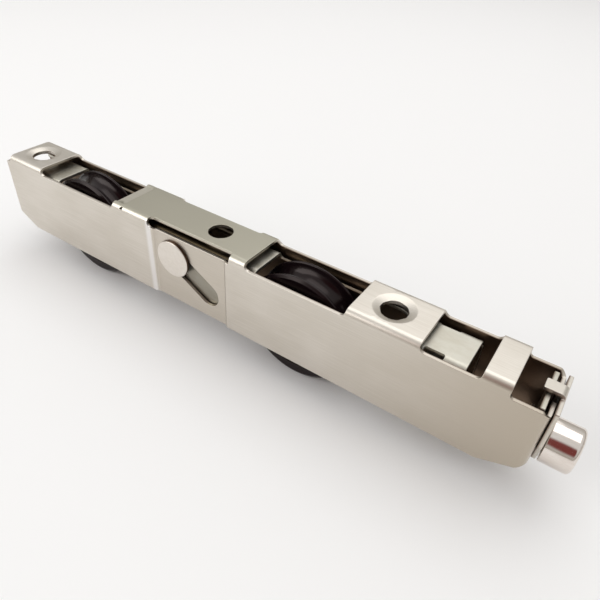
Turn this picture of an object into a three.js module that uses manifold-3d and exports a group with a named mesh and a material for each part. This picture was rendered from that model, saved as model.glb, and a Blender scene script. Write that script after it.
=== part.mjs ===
// Height-adjustable tandem roller for a sliding door.
//
// A long folded steel housing, open at the bottom, holds a second folded channel, the carriage,
// which carries two grooved wheels. A headed guide rivet on the carriage runs in a sloping slot in
// each side of the housing. Turning the adjusting screw at the right-hand end draws the carriage
// along that slot, so that the wheels go down and the door goes up.
//
// Millimetres. X runs along the door towards the screw, Y across it, Z up. Inside the assembly
// group x = 0 is the left end of the housing, y = 0 its middle and z = 0 its bottom edge.

import * as THREE from 'three';
import { mergeVertices } from 'three/addons/utils/BufferGeometryUtils.js';
import Module from 'manifold-3d';

const wasm = await Module();
wasm.setup();

// ---------------------------------------------------------------- driving dimensions

const SHEET = 1.2;                    // steel of the housing, the carriage and the outer plate
const HOUSING_LENGTH = 210.7;
const HOUSING_WIDTH = 19.4;
const HOUSING_HEIGHT = 29.9;
const HOUSING_BEND = 2.4;             // outside radius of the two long folds
const WINDOW_FLOOR = 27.4;            // top of the side walls where the folds are cut away
const END_WALL_TOP = 26.1;            // top of the side walls beside the screw plates
const WEB_START = 2.4;
const BRIDGES = [                     // stretches of top web that are left, start and end
  [WEB_START, 20.6],
  [59.3, 117.5],
  [153.0, 175.7],
  [192.6, 200.3],
];
const CORNER_FILLET = 1.0;
const LEFT_CHAMFER = [8.8, 4.9];      // length along the bottom, height up the end
const RIGHT_CHAMFER = [12.5, 4.9];
const END_CORNER = 2.0;

const HOLE_RADIUS = 4.15;             // mounting holes in the top web
const LEFT_HOLE_X = 10.5;
const MIDDLE_HOLE_X = 100.5;
const RIGHT_HOLE_X = 163.7;
const DIMPLE_RADIUS = 6.6;
const DIMPLE_DEPTH = 0.9;

const LIP_LENGTH = 4.6;               // lowered left end of the middle bridge
const LIP_DROP = 0.6;
const RELIEF_LENGTH = 1.4;

const PANEL_LEFT_TOP = 79.4;          // recessed guide panel, its left edge leans
const PANEL_LEFT_BOTTOM = 77.9;
const PANEL_RIGHT = 109.6;
const PANEL_DEPTH = 0.8;
const PANEL_TOP = 26.8;
const SLIT_START = 76.2;              // long slit in the fold above the panel
const SLIT_END = 111.4;

const GUIDE_X = 87.1;                 // guide rivet with the wheels raised
const GUIDE_Z = 18.2;
const GUIDE_ANGLE = 30.5;             // slope of the slot below the horizontal, degrees
const GUIDE_TRAVEL = 17.0;            // along the slot
const GUIDE_SHANK = 4.0;              // radius
const GUIDE_HEAD = 6.7;               // radius
const GUIDE_HEAD_THICK = 1.05;
const SLOT_CLEARANCE = 0.4;           // each side of the shank

const CARRIAGE_START = 5.0;
const CARRIAGE_WEB_END = 186.5;
const CARRIAGE_END = 188.5;
const CARRIAGE_TOP = 26.6;
const CARRIAGE_BOTTOM = 2.6;
const CARRIAGE_BEND = 2.2;
const CARRIAGE_WINDOWS = [[27.4, 63.5], [120.0, 157.5]];
const CARRIAGE_NOTCH_WIDTH = 9.6;     // clears the mounting holes
const FOLD_RELIEF = [175.9, 181.8];

const LEFT_WHEEL_X = 38.8;
const RIGHT_WHEEL_X = 134.8;
const AXLE_Z = 9.5;
const WHEEL_RADIUS = 19.5;
const WHEEL_HALF_WIDTH = 5.1;
const CREST_OUTER = 4.5;              // half width over the outer edges of the two crests
const GROOVE_RADIUS = 3.9;
const HUB_WALL = 1.8;                 // nylon round the bearing
const DISH_DEPTH = 0.9;               // ring-shaped dish between the hub and the rim
const DISH_OUTER = 15.0;              // radius
const RIM_EDGE = 18.5;                // radius where the side face turns into the crest
const RIM_STEP = 0.6;

const BEARING_OUTER = 11.0;           // 8 x 22 x 7 ball bearing
const BEARING_BORE = 4.0;
const BEARING_HALF_WIDTH = 3.5;
const OUTER_RING_INNER = 9.2;
const INNER_RING_OUTER = 5.9;
const BALL_RADIUS = 1.985;
const BALL_PITCH = 7.55;
const BALL_COUNT = 7;
const RACE_CLEARANCE = 0.12;
const SHIELD_THICK = 0.3;
const CAGE_WALL = 1.3;
const CAGE_FACE = 0.3;                // the crown's two faces, measured from the ball track
const CAGE_BACK = 2.6;
const CAGE_POCKET = 1.1;              // pocket radius over ball radius

const AXLE_HEAD = 6.0;                // radius
const AXLE_HEAD_THICK = 0.65;

const SCREW_Z = 9.8;
const SCREW_RADIUS = 4.0;             // M8
const SCREW_TIP_X = 172.5;
const SCREW_TIP_CHAMFER = 1.0;
const HEAD_RADIUS = 6.5;
const HEAD_LENGTH = 7.2;
const HEAD_ROUND = 1.3;
const SOCKET_ACROSS_FLATS = 6.0;
const SOCKET_DEPTH = 4.0;
const CLIP_THICK = 0.8;
const CLIP_RADIUS = 5.9;
const CLIP_GROOVE = 0.9;              // depth
const WASHER_RADIUS = 6.8;
const WASHER_THICK = 1.4;

const NUT_START = 174.5;
const NUT_LENGTH = 11.5;
const NUT_HEIGHT = 12.0;
const TENON_RADIUS = 2.5;

const INNER_PLATE_THICK = 1.4;
const PLATE_BOTTOM = 4.0;
const INNER_PLATE_TOP = 26.0;
const OUTER_PLATE_TOP = 26.3;
const INNER_PLATE_HALF = 7.8;
const OUTER_PLATE_HALF = 8.1;
const TONGUE_HALF = 1.95;
const TONGUE_START = 206.3;
const TONGUE_TOP = 27.7;
const PLATE_CORNER = 1.5;

const SLIDE_GAP = 0.2;                // between faces that slide on each other
const FLANGE_GAP = 0.8;               // between the inner plate and the flanges
const HEAD_GAP = 0.4;                 // under the screw head
const FIT_GAP = 0.1;                  // round a shank, a ring or a press fit
const SEAT_GAP = 0.1;                 // between pieces clamped together
const FACETS = 24;
const WHEEL_FACETS = 32;
const BEND_FACETS = 4;

// ---------------------------------------------------------------- derived places

const halfWidth = HOUSING_WIDTH / 2;
const wallInner = halfWidth - SHEET;
const panelFace = halfWidth - PANEL_DEPTH;
const panelInner = panelFace - SHEET;
const carriageHalf = panelInner - SLIDE_GAP;
const carriageInner = carriageHalf - SHEET;
const slope = THREE.MathUtils.degToRad(GUIDE_ANGLE);
const lowered = new THREE.Vector2(Math.cos(slope), -Math.sin(slope)).multiplyScalar(GUIDE_TRAVEL);
const flangeStart = HOUSING_LENGTH - SHEET;
const outerPlateStart = HOUSING_LENGTH + SLIDE_GAP;
const outerPlateEnd = outerPlateStart + SHEET;
const innerPlateEnd = flangeStart - FLANGE_GAP;
const innerPlateStart = innerPlateEnd - INNER_PLATE_THICK;
const washerStart = innerPlateStart - SEAT_GAP - WASHER_THICK;
const clipStart = washerStart - SEAT_GAP - CLIP_THICK;
const headStart = outerPlateEnd + HEAD_GAP;
const headEnd = headStart + HEAD_LENGTH;
const wheelDrop = WHEEL_RADIUS - AXLE_Z;
const overshoot = 5;                  // how far a cutting tool runs past what it cuts

// ---------------------------------------------------------------- shape helpers

function toSolid(geometry) {
  const plain = geometry.clone();
  plain.deleteAttribute('normal');
  plain.deleteAttribute('uv');
  const merged = mergeVertices(plain, 1e-5);
  return new wasm.Manifold(new wasm.Mesh({
    numProp: 3,
    vertProperties: new Float32Array(merged.attributes.position.array),
    triVerts: new Uint32Array(merged.index.array),
  }));
}

function toGeometry(solid) {
  const mesh = solid.getMesh();
  const geometry = new THREE.BufferGeometry();
  geometry.setAttribute('position', new THREE.BufferAttribute(new Float32Array(mesh.vertProperties), 3));
  geometry.setIndex(new THREE.BufferAttribute(new Uint32Array(mesh.triVerts), 1));
  const faceted = geometry.toNonIndexed();
  faceted.computeVertexNormals();
  return faceted;
}

const join = (...solids) => solids.reduce((whole, piece) => whole.add(piece));
const cut = (solid, ...tools) => tools.reduce((rest, tool) => rest.subtract(tool), solid);

function block([x0, x1], [y0, y1], [z0, z1]) {
  const box = new THREE.BoxGeometry(x1 - x0, y1 - y0, z1 - z0);
  return toSolid(box.translate((x0 + x1) / 2, (y0 + y1) / 2, (z0 + z1) / 2));
}

// The same block on both sides of the middle plane, given for the +Y side.
function blockPair(xRange, [y0, y1], zRange) {
  return join(block(xRange, [y0, y1], zRange), block(xRange, [-y1, -y0], zRange));
}

function extruded(shape, depth) {
  return new THREE.ExtrudeGeometry(shape, { depth, bevelEnabled: false, curveSegments: BEND_FACETS });
}

// An outline in the X-Z plane, given real thickness from y0 to y1.
function sidePlate(shape, y0, y1) {
  const solid = extruded(shape, y1 - y0);
  const across = new THREE.Matrix4().makeBasis(
    new THREE.Vector3(1, 0, 0), new THREE.Vector3(0, 0, 1), new THREE.Vector3(0, -1, 0));
  return toSolid(solid.applyMatrix4(across).translate(0, y1, 0));
}

// An outline in the Y-Z plane, run along X from x0 to x1.
function alongX(shape, x0, x1) {
  const solid = extruded(shape, x1 - x0);
  const along = new THREE.Matrix4().makeBasis(
    new THREE.Vector3(0, 1, 0), new THREE.Vector3(0, 0, 1), new THREE.Vector3(1, 0, 0));
  return toSolid(solid.applyMatrix4(along).translate(x0, 0, 0));
}

// An outline in the X-Y plane, raised from z0 to z1.
function upright(shape, z0, z1) {
  return toSolid(extruded(shape, z1 - z0).translate(0, 0, z0));
}

// A turned piece: profile points are [radius, distance along the axis], listed so that the
// distance rises on the outside.
function turned(profile, axis, [x, y, z], facets = FACETS) {
  const points = profile.map(([radius, along]) => new THREE.Vector2(radius, along));
  const lathe = new THREE.LatheGeometry(points, facets);
  if (axis === 'x') lathe.rotateZ(-Math.PI / 2);
  if (axis === 'z') lathe.rotateX(Math.PI / 2);
  return toSolid(lathe.translate(x, y, z));
}

function rod(radius, from, to, axis, place, facets = FACETS) {
  return turned([[0, from], [radius, from], [radius, to], [0, to]], axis, place, facets);
}

function ring(inner, outer, from, to, axis, place, facets = FACETS) {
  const profile = [[inner, from], [outer, from], [outer, to], [inner, to], [inner, from]];
  return turned(profile, axis, place, facets);
}

function stadium(from, to, radius) {
  const angle = Math.atan2(to.y - from.y, to.x - from.x);
  const shape = new THREE.Shape();
  shape.absarc(to.x, to.y, radius, angle - Math.PI / 2, angle + Math.PI / 2);
  shape.absarc(from.x, from.y, radius, angle + Math.PI / 2, angle + Math.PI * 1.5);
  shape.closePath();
  return shape;
}

// Folded channel, open downwards: outline of its section in Y-Z.
function channelSection(half, bottom, top, bend) {
  const inner = half - SHEET;
  const innerBend = bend - SHEET;
  const shape = new THREE.Shape();
  shape.moveTo(half, bottom);
  shape.absarc(half - bend, top - bend, bend, 0, Math.PI / 2);
  shape.absarc(-half + bend, top - bend, bend, Math.PI / 2, Math.PI);
  shape.lineTo(-half, bottom);
  shape.lineTo(-inner, bottom);
  shape.absarc(-half + bend, top - bend, innerBend, Math.PI, Math.PI / 2, true);
  shape.absarc(half - bend, top - bend, innerBend, Math.PI / 2, 0, true);
  shape.lineTo(inner, bottom);
  shape.closePath();
  return shape;
}

// ---------------------------------------------------------------- materials

const metal = (color, roughness) => new THREE.MeshStandardMaterial({ color, roughness, metalness: 1 });
const brushedStainless = () => metal(0xcdc7bd, 0.38);
const zincSteel = () => metal(0xb9b4a8, 0.42);
const rivetSteel = () => metal(0xd2c8be, 0.35);
const chrome = () => metal(0xe6e2dc, 0.12);
const bearingSteel = () => metal(0xb4b6ba, 0.22);
const blackNylon = () => new THREE.MeshStandardMaterial({ color: 0x1e161c, roughness: 0.35, metalness: 0 });
const cageNylon = () => new THREE.MeshStandardMaterial({ color: 0x6b5a3a, roughness: 0.5, metalness: 0 });

const assembly = new THREE.Group();
assembly.position.set(-headEnd / 2, 0, wheelDrop);

function place(name, solid, material) {
  const mesh = new THREE.Mesh(toGeometry(solid), material);
  mesh.name = name;
  assembly.add(mesh);
}

// ---------------------------------------------------------------- outer housing

// Side view of the housing: chamfered ends below, bridges and cut-away folds above.
function housingOutline() {
  const shape = new THREE.Shape();
  const [leftRun, leftRise] = LEFT_CHAMFER;
  const [rightRun, rightRise] = RIGHT_CHAMFER;
  shape.moveTo(leftRun, 0);
  shape.lineTo(HOUSING_LENGTH - rightRun, 0);
  shape.lineTo(HOUSING_LENGTH - END_CORNER, rightRise - END_CORNER / 2);
  shape.quadraticCurveTo(HOUSING_LENGTH, rightRise, HOUSING_LENGTH, rightRise + END_CORNER);
  shape.absarc(HOUSING_LENGTH - END_CORNER, END_WALL_TOP - END_CORNER, END_CORNER, 0, Math.PI / 2);
  let floor = END_WALL_TOP;
  for (const [start, end] of [...BRIDGES].reverse()) {
    const fillet = CORNER_FILLET;
    shape.absarc(end + fillet, floor + fillet, fillet, Math.PI * 1.5, Math.PI, true);
    shape.lineTo(end, HOUSING_HEIGHT);
    shape.lineTo(start, HOUSING_HEIGHT);
    floor = WINDOW_FLOOR;
    shape.absarc(start - fillet, floor + fillet, fillet, 0, -Math.PI / 2, true);
  }
  shape.lineTo(0, WINDOW_FLOOR);
  shape.lineTo(0, leftRise);
  shape.closePath();
  return shape;
}

// End of one side wall, bent inwards into a flange: plan view for the +Y side.
function flangePlan(gap) {
  const bendX = HOUSING_LENGTH - HOUSING_BEND;
  const bendY = halfWidth - HOUSING_BEND;
  const shape = new THREE.Shape();
  shape.moveTo(bendX - SHEET, wallInner);
  shape.absarc(bendX, bendY, HOUSING_BEND - SHEET, Math.PI / 2, 0, true);
  shape.lineTo(flangeStart, gap);
  shape.lineTo(HOUSING_LENGTH, gap);
  shape.absarc(bendX, bendY, HOUSING_BEND, 0, Math.PI / 2);
  shape.lineTo(bendX - SHEET, halfWidth);
  shape.closePath();
  return shape;
}

function mirrored(solid) {
  return solid.mirror([0, 1, 0]);
}

function endFlanges() {
  const neckTop = SCREW_Z + SCREW_RADIUS + SLOT_CLEARANCE;
  const upper = upright(flangePlan(TONGUE_HALF + SLIDE_GAP), neckTop, HOUSING_HEIGHT);
  const lower = upright(flangePlan(SCREW_RADIUS + SLOT_CLEARANCE), 0, neckTop);
  const flange = upper.add(lower);
  return flange.add(mirrored(flange));
}

function guidePanelOutline() {
  const shape = new THREE.Shape();
  shape.moveTo(PANEL_LEFT_BOTTOM, 0);
  shape.lineTo(PANEL_RIGHT, 0);
  shape.lineTo(PANEL_RIGHT, PANEL_TOP);
  shape.lineTo(PANEL_LEFT_TOP, PANEL_TOP);
  shape.closePath();
  return shape;
}

function addGuidePanels(housing) {
  const outline = guidePanelOutline();
  const cutSkin = sidePlate(outline, panelFace, halfWidth + overshoot);
  const backing = sidePlate(outline, panelInner, panelFace);
  return join(
    cut(housing, cutSkin, mirrored(cutSkin)),
    backing,
    mirrored(backing),
  );
}

// Long slits through the folds above the panels.
function foldSlits() {
  return blockPair([SLIT_START, SLIT_END], [halfWidth - HOUSING_BEND, halfWidth + overshoot],
    [PANEL_TOP, HOUSING_HEIGHT + overshoot]);
}

function guideSlot() {
  const from = new THREE.Vector2(GUIDE_X, GUIDE_Z);
  const outline = stadium(from, from.clone().add(lowered), GUIDE_SHANK + SLOT_CLEARANCE);
  return sidePlate(outline, -halfWidth - overshoot, halfWidth + overshoot);
}

// Sheet pressed down into a shallow cone round a mounting hole.
function dimple() {
  const top = HOUSING_HEIGHT;
  const under = HOUSING_HEIGHT - SHEET;
  const rim = DIMPLE_RADIUS + SHEET / 2;
  return [
    [HOLE_RADIUS, under - DIMPLE_DEPTH],
    [DIMPLE_RADIUS, under],
    [rim, under],
    [rim, top],
    [DIMPLE_RADIUS, top],
    [HOLE_RADIUS, top - DIMPLE_DEPTH],
    [HOLE_RADIUS, under - DIMPLE_DEPTH],
  ];
}

function addDimple(housing, x) {
  const centre = [x, 0, 0];
  const punch = rod(DIMPLE_RADIUS + SHEET / 4, WINDOW_FLOOR, HOUSING_HEIGHT + overshoot, 'z', centre);
  return cut(housing, punch).add(turned(dimple(), 'z', centre));
}

// The left end of the middle bridge is set down a little, and the folds are nicked behind it.
function addLip(housing) {
  const start = BRIDGES[1][0];
  const end = start + LIP_LENGTH;
  const half = halfWidth - HOUSING_BEND;
  const under = HOUSING_HEIGHT - SHEET;
  const across = [-half, half];
  const pressed = block([start, end], across, [HOUSING_HEIGHT - LIP_DROP, HOUSING_HEIGHT + overshoot]);
  const backing = block([start, end], across, [under - LIP_DROP, under + LIP_DROP / 2]);
  const nick = blockPair([end - RELIEF_LENGTH, end], [half, halfWidth - SHEET / 2],
    [WINDOW_FLOOR + CORNER_FILLET, HOUSING_HEIGHT + overshoot]);
  return cut(cut(housing, pressed).add(backing), nick);
}

function outerHousing() {
  const section = channelSection(halfWidth, 0, HOUSING_HEIGHT, HOUSING_BEND);
  const folded = alongX(section, 0, HOUSING_LENGTH - HOUSING_BEND).add(endFlanges());
  const outline = sidePlate(housingOutline(), -halfWidth - overshoot, halfWidth + overshoot);
  let housing = addGuidePanels(folded.intersect(outline));
  housing = addLip(cut(housing, foldSlits(), guideSlot()));
  for (const x of [LEFT_HOLE_X, RIGHT_HOLE_X]) housing = addDimple(housing, x);
  const middleHole = rod(HOLE_RADIUS, WINDOW_FLOOR, HOUSING_HEIGHT + overshoot, 'z', [MIDDLE_HOLE_X, 0, 0]);
  return cut(housing, middleHole);
}

place('outer_housing', outerHousing(), brushedStainless());

// ---------------------------------------------------------------- carriage

function carriageNotch(from, to) {
  const radius = CARRIAGE_NOTCH_WIDTH / 2;
  const shape = stadium(new THREE.Vector2(from, 0), new THREE.Vector2(to, 0), radius);
  return upright(shape, CARRIAGE_TOP - SHEET * 2, CARRIAGE_TOP + overshoot);
}

function innerCarriage() {
  const section = channelSection(carriageHalf, CARRIAGE_BOTTOM, CARRIAGE_TOP, CARRIAGE_BEND);
  const folded = alongX(section, CARRIAGE_START, CARRIAGE_END);
  const across = [-carriageHalf - overshoot, carriageHalf + overshoot];
  const above = [CARRIAGE_TOP - CARRIAGE_BEND, CARRIAGE_TOP + overshoot];
  const windows = [...CARRIAGE_WINDOWS, [CARRIAGE_WEB_END, CARRIAGE_END + overshoot]]
    .map((range) => block(range, across, above));
  const shift = lowered.x;
  const notches = [
    carriageNotch(CARRIAGE_START - overshoot, LEFT_HOLE_X),
    carriageNotch(MIDDLE_HOLE_X - shift, MIDDLE_HOLE_X),
    carriageNotch(CARRIAGE_WINDOWS[1][1] - overshoot, RIGHT_HOLE_X),
  ];
  const foldReliefs = blockPair(FOLD_RELIEF, [carriageHalf - CARRIAGE_BEND, carriageHalf - SHEET / 4],
    [CARRIAGE_TOP - SHEET * 1.5, CARRIAGE_TOP + overshoot]);
  const bores = [
    rod(GUIDE_SHANK + FIT_GAP, ...across, 'y', [GUIDE_X, 0, GUIDE_Z]),
    rod(BEARING_BORE, ...across, 'y', [LEFT_WHEEL_X, 0, AXLE_Z]),
    rod(BEARING_BORE, ...across, 'y', [RIGHT_WHEEL_X, 0, AXLE_Z]),
    rod(TENON_RADIUS + FIT_GAP, ...across, 'y', [NUT_START + NUT_LENGTH / 2, 0, SCREW_Z]),
  ];
  return cut(folded, ...windows, ...notches, foldReliefs, ...bores);
}

place('inner_carriage', innerCarriage(), zincSteel());

// ---------------------------------------------------------------- guide rivet

const guidePlace = [GUIDE_X, 0, GUIDE_Z];
const guideHeadInner = panelFace + SEAT_GAP;
const guideHeadOuter = guideHeadInner + GUIDE_HEAD_THICK;

function guideRivet() {
  const edge = GUIDE_HEAD_THICK / 4;
  return turned([
    [0, -guideHeadOuter],
    [GUIDE_HEAD - edge, -guideHeadOuter],
    [GUIDE_HEAD, -guideHeadOuter + edge],
    [GUIDE_HEAD, -guideHeadInner],
    [GUIDE_SHANK, -guideHeadInner],
    [GUIDE_SHANK, guideHeadOuter],
    [0, guideHeadOuter],
  ], 'y', guidePlace);
}

place('guide_rivet', guideRivet(), rivetSteel());
place('guide_rivet_washer',
  ring(GUIDE_SHANK + FIT_GAP, GUIDE_HEAD, guideHeadInner, guideHeadOuter, 'y', guidePlace), rivetSteel());
place('guide_rivet_sleeve',
  ring(GUIDE_SHANK + FIT_GAP, GUIDE_SHANK + SHEET + FIT_GAP, -carriageInner + SEAT_GAP,
    carriageInner - SEAT_GAP, 'y', guidePlace), zincSteel());

// ---------------------------------------------------------------- wheels and their bearings

// Half circle of the rail groove, from the +Y crest to the -Y crest.
function grooveArc() {
  const steps = 8;
  const points = [];
  for (let step = 0; step <= steps; step += 1) {
    const turn = Math.PI * step / steps;
    points.push([WHEEL_RADIUS - GROOVE_RADIUS * Math.sin(turn), -GROOVE_RADIUS * Math.cos(turn)]);
  }
  return points;
}

function wheelRim(centre) {
  const bore = BEARING_OUTER + FIT_GAP;
  const hub = bore + HUB_WALL;
  const dish = BEARING_HALF_WIDTH - DISH_DEPTH;
  const side = [
    [hub, BEARING_HALF_WIDTH],
    [hub + RIM_STEP, dish],
    [DISH_OUTER, dish],
    [DISH_OUTER + RIM_STEP, WHEEL_HALF_WIDTH],
    [RIM_EDGE, WHEEL_HALF_WIDTH],
    [WHEEL_RADIUS, CREST_OUTER],
  ];
  return turned([
    [bore, -BEARING_HALF_WIDTH],
    ...side.map(([radius, along]) => [radius, -along]),
    ...grooveArc(),
    ...[...side].reverse(),
    [bore, BEARING_HALF_WIDTH],
    [bore, -BEARING_HALF_WIDTH],
  ], 'y', centre, WHEEL_FACETS);
}

// Raceway: part circle round the ball track, where it cuts into a ring's face at the given radius.
function raceway(face, outward) {
  const radius = BALL_RADIUS + RACE_CLEARANCE;
  const half = Math.acos(Math.abs(face - BALL_PITCH) / radius);
  const steps = 4;
  const points = [];
  for (let step = 0; step <= steps; step += 1) {
    const turn = -half + 2 * half * step / steps;
    points.push([BALL_PITCH + outward * radius * Math.cos(turn), radius * Math.sin(turn)]);
  }
  return points;
}

function bearingOuterRing(centre) {
  const w = BEARING_HALF_WIDTH;
  return turned([
    [OUTER_RING_INNER, -w],
    [BEARING_OUTER, -w],
    [BEARING_OUTER, w],
    [OUTER_RING_INNER, w],
    ...raceway(OUTER_RING_INNER, 1).reverse(),
    [OUTER_RING_INNER, -w],
  ], 'y', centre);
}

function bearingInnerRing(centre) {
  const w = BEARING_HALF_WIDTH;
  return turned([
    [BEARING_BORE, -w],
    [INNER_RING_OUTER, -w],
    ...raceway(INNER_RING_OUTER, -1),
    [INNER_RING_OUTER, w],
    [BEARING_BORE, w],
    [BEARING_BORE, -w],
  ], 'y', centre);
}

function ballCentres([x, y, z]) {
  return Array.from({ length: BALL_COUNT }, (_, index) => {
    const turn = 2 * Math.PI * index / BALL_COUNT;
    return [x + BALL_PITCH * Math.cos(turn), y, z + BALL_PITCH * Math.sin(turn)];
  });
}

const ball = (radius, centre) => toSolid(new THREE.IcosahedronGeometry(radius, 1).translate(...centre));

function bearingCage(centre) {
  const inner = BALL_PITCH - CAGE_WALL / 2;
  const outer = BALL_PITCH + CAGE_WALL / 2;
  const crown = ring(inner, outer, CAGE_FACE, CAGE_BACK, 'y', centre);
  return cut(crown, ...ballCentres(centre).map((at) => ball(BALL_RADIUS * CAGE_POCKET, at)));
}

function axleRivet(centre) {
  const shank = BEARING_BORE - FIT_GAP;
  const inner = carriageHalf + SEAT_GAP;
  const outer = inner + AXLE_HEAD_THICK;
  const edge = AXLE_HEAD_THICK / 2;
  return turned([
    [0, -outer],
    [AXLE_HEAD - edge, -outer],
    [AXLE_HEAD, -outer + edge],
    [AXLE_HEAD, -inner],
    [shank, -inner],
    [shank, inner],
    [AXLE_HEAD, inner],
    [AXLE_HEAD, outer - edge],
    [AXLE_HEAD - edge, outer],
    [0, outer],
  ], 'y', centre);
}

for (const [side, x] of [['left', LEFT_WHEEL_X], ['right', RIGHT_WHEEL_X]]) {
  const centre = [x, 0, AXLE_Z];
  place(`${side}_wheel`, wheelRim(centre), blackNylon());
  place(`${side}_bearing_outer_ring`, bearingOuterRing(centre), bearingSteel());
  place(`${side}_bearing_inner_ring`, bearingInnerRing(centre), bearingSteel());
  place(`${side}_bearing_cage`, bearingCage(centre), cageNylon());
  ballCentres(centre).forEach((at, index) => {
    place(`${side}_bearing_ball_${index + 1}`, ball(BALL_RADIUS, at), bearingSteel());
  });
  const shieldOuter = BEARING_HALF_WIDTH - SHIELD_THICK;
  const spacerFrom = BEARING_HALF_WIDTH + SEAT_GAP;
  const spacerTo = carriageInner - SEAT_GAP;
  for (const [face, sign] of [['front', -1], ['back', 1]]) {
    const span = (near, far) => (sign > 0 ? [near, far] : [-far, -near]);
    place(`${side}_bearing_${face}_shield`,
      ring(INNER_RING_OUTER + SLIDE_GAP, OUTER_RING_INNER - FIT_GAP,
        ...span(shieldOuter - SHIELD_THICK, shieldOuter), 'y', centre), bearingSteel());
    place(`${side}_${face}_spacer`,
      ring(BEARING_BORE, INNER_RING_OUTER, ...span(spacerFrom, spacerTo), 'y', centre), zincSteel());
  }
  place(`${side}_axle_rivet`, axleRivet(centre), rivetSteel());
}

// ---------------------------------------------------------------- adjusting screw and its nut

const screwPlace = [0, 0, SCREW_Z];

function hexSocket() {
  const shape = new THREE.Shape();
  const corner = SOCKET_ACROSS_FLATS / Math.sqrt(3);
  for (let side = 0; side < 6; side += 1) {
    const turn = Math.PI / 3 * side;
    const [y, z] = [corner * Math.cos(turn), SCREW_Z + corner * Math.sin(turn)];
    if (side === 0) shape.moveTo(y, z);
    else shape.lineTo(y, z);
  }
  shape.closePath();
  return alongX(shape, headEnd - SOCKET_DEPTH, headEnd + overshoot);
}

function adjustingScrew() {
  const roundCut = HEAD_ROUND * (1 - Math.SQRT1_2);
  const grooveRadius = SCREW_RADIUS - CLIP_GROOVE;
  const body = turned([
    [0, SCREW_TIP_X],
    [SCREW_RADIUS - SCREW_TIP_CHAMFER, SCREW_TIP_X],
    [SCREW_RADIUS, SCREW_TIP_X + SCREW_TIP_CHAMFER],
    [SCREW_RADIUS, clipStart - FIT_GAP],
    [grooveRadius, clipStart - FIT_GAP],
    [grooveRadius, clipStart + CLIP_THICK + FIT_GAP],
    [SCREW_RADIUS, clipStart + CLIP_THICK + FIT_GAP],
    [SCREW_RADIUS, headStart],
    [HEAD_RADIUS, headStart],
    [HEAD_RADIUS, headEnd - HEAD_ROUND],
    [HEAD_RADIUS - roundCut, headEnd - roundCut],
    [HEAD_RADIUS - HEAD_ROUND, headEnd],
    [0, headEnd],
  ], 'x', screwPlace);
  return cut(body, hexSocket());
}

function nutBlock() {
  const half = carriageInner - SEAT_GAP;
  const end = NUT_START + NUT_LENGTH;
  const body = block([NUT_START, end], [-half, half], [SCREW_Z - NUT_HEIGHT / 2, SCREW_Z + NUT_HEIGHT / 2]);
  const tenons = rod(TENON_RADIUS, -carriageHalf, carriageHalf, 'y',
    [(NUT_START + end) / 2, 0, SCREW_Z]);
  const bore = rod(SCREW_RADIUS + SLIDE_GAP, NUT_START - overshoot, end + overshoot, 'x', screwPlace);
  return cut(body.add(tenons), bore);
}

// Retaining clip: a ring with a mouth wide enough to be pushed over the groove.
function screwClip() {
  const inner = SCREW_RADIUS - CLIP_GROOVE + FIT_GAP;
  const band = ring(inner, CLIP_RADIUS, clipStart, clipStart + CLIP_THICK, 'x', screwPlace);
  const mouth = block([clipStart - overshoot, clipStart + overshoot], [-inner, inner],
    [SCREW_Z - CLIP_RADIUS - overshoot, SCREW_Z]);
  return cut(band, mouth);
}

place('adjusting_screw', adjustingScrew(), chrome());
place('nut_block', nutBlock(), zincSteel());
place('screw_thrust_washer',
  ring(SCREW_RADIUS + SLIDE_GAP, WASHER_RADIUS, washerStart, washerStart + WASHER_THICK, 'x', screwPlace),
  bearingSteel());
place('screw_retaining_clip', screwClip(), bearingSteel());

// ---------------------------------------------------------------- plates that carry the screw

function plateOutline(half, bottom, top) {
  const shape = new THREE.Shape();
  const corner = PLATE_CORNER;
  shape.moveTo(-half + corner, bottom);
  shape.lineTo(half - corner, bottom);
  shape.lineTo(half, bottom + corner);
  shape.lineTo(half, top);
  shape.lineTo(-half, top);
  shape.lineTo(-half, bottom + corner);
  shape.closePath();
  return shape;
}

function screwHole() {
  return rod(SCREW_RADIUS + SLIDE_GAP, innerPlateStart - overshoot, headEnd, 'x', screwPlace);
}

function innerSlidePlate() {
  const plate = alongX(plateOutline(INNER_PLATE_HALF, PLATE_BOTTOM, INNER_PLATE_TOP),
    innerPlateStart, innerPlateEnd);
  return cut(plate, screwHole());
}

// The tab in the middle of the outer plate's top edge is folded inwards over the flanges.
function tongueOutline() {
  const bend = TONGUE_TOP - OUTER_PLATE_TOP;
  const shape = new THREE.Shape();
  shape.moveTo(outerPlateStart, OUTER_PLATE_TOP - SHEET);
  shape.lineTo(outerPlateEnd, OUTER_PLATE_TOP - SHEET);
  shape.absarc(outerPlateEnd - bend, OUTER_PLATE_TOP, bend, 0, Math.PI / 2);
  shape.lineTo(TONGUE_START, TONGUE_TOP);
  shape.lineTo(TONGUE_START, TONGUE_TOP - SHEET);
  shape.lineTo(outerPlateStart, TONGUE_TOP - SHEET);
  shape.closePath();
  return shape;
}

function outerSlidePlate() {
  const plate = alongX(plateOutline(OUTER_PLATE_HALF, PLATE_BOTTOM, OUTER_PLATE_TOP),
    outerPlateStart, outerPlateEnd);
  const tongue = sidePlate(tongueOutline(), -TONGUE_HALF, TONGUE_HALF);
  return cut(plate.add(tongue), screwHole());
}

place('inner_slide_plate', innerSlidePlate(), zincSteel());
place('outer_slide_plate', outerSlidePlate(), brushedStainless());

const roller = new THREE.Group();
roller.add(assembly);

export default roller;
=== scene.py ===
# Height-adjustable tandem roller for a sliding door, dressed for show round its CAD frame.
# The sections follow the roller as it is put together: housing, carriage, guide rivet, wheels
# with their bearings and axles, screw and nut, slide plates, and last the studio it stands in.

from math import acos, atan2, cos, hypot, pi, radians, sin, tan

import bpy
import numpy as np
from mathutils import Matrix, Vector, geometry


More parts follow.
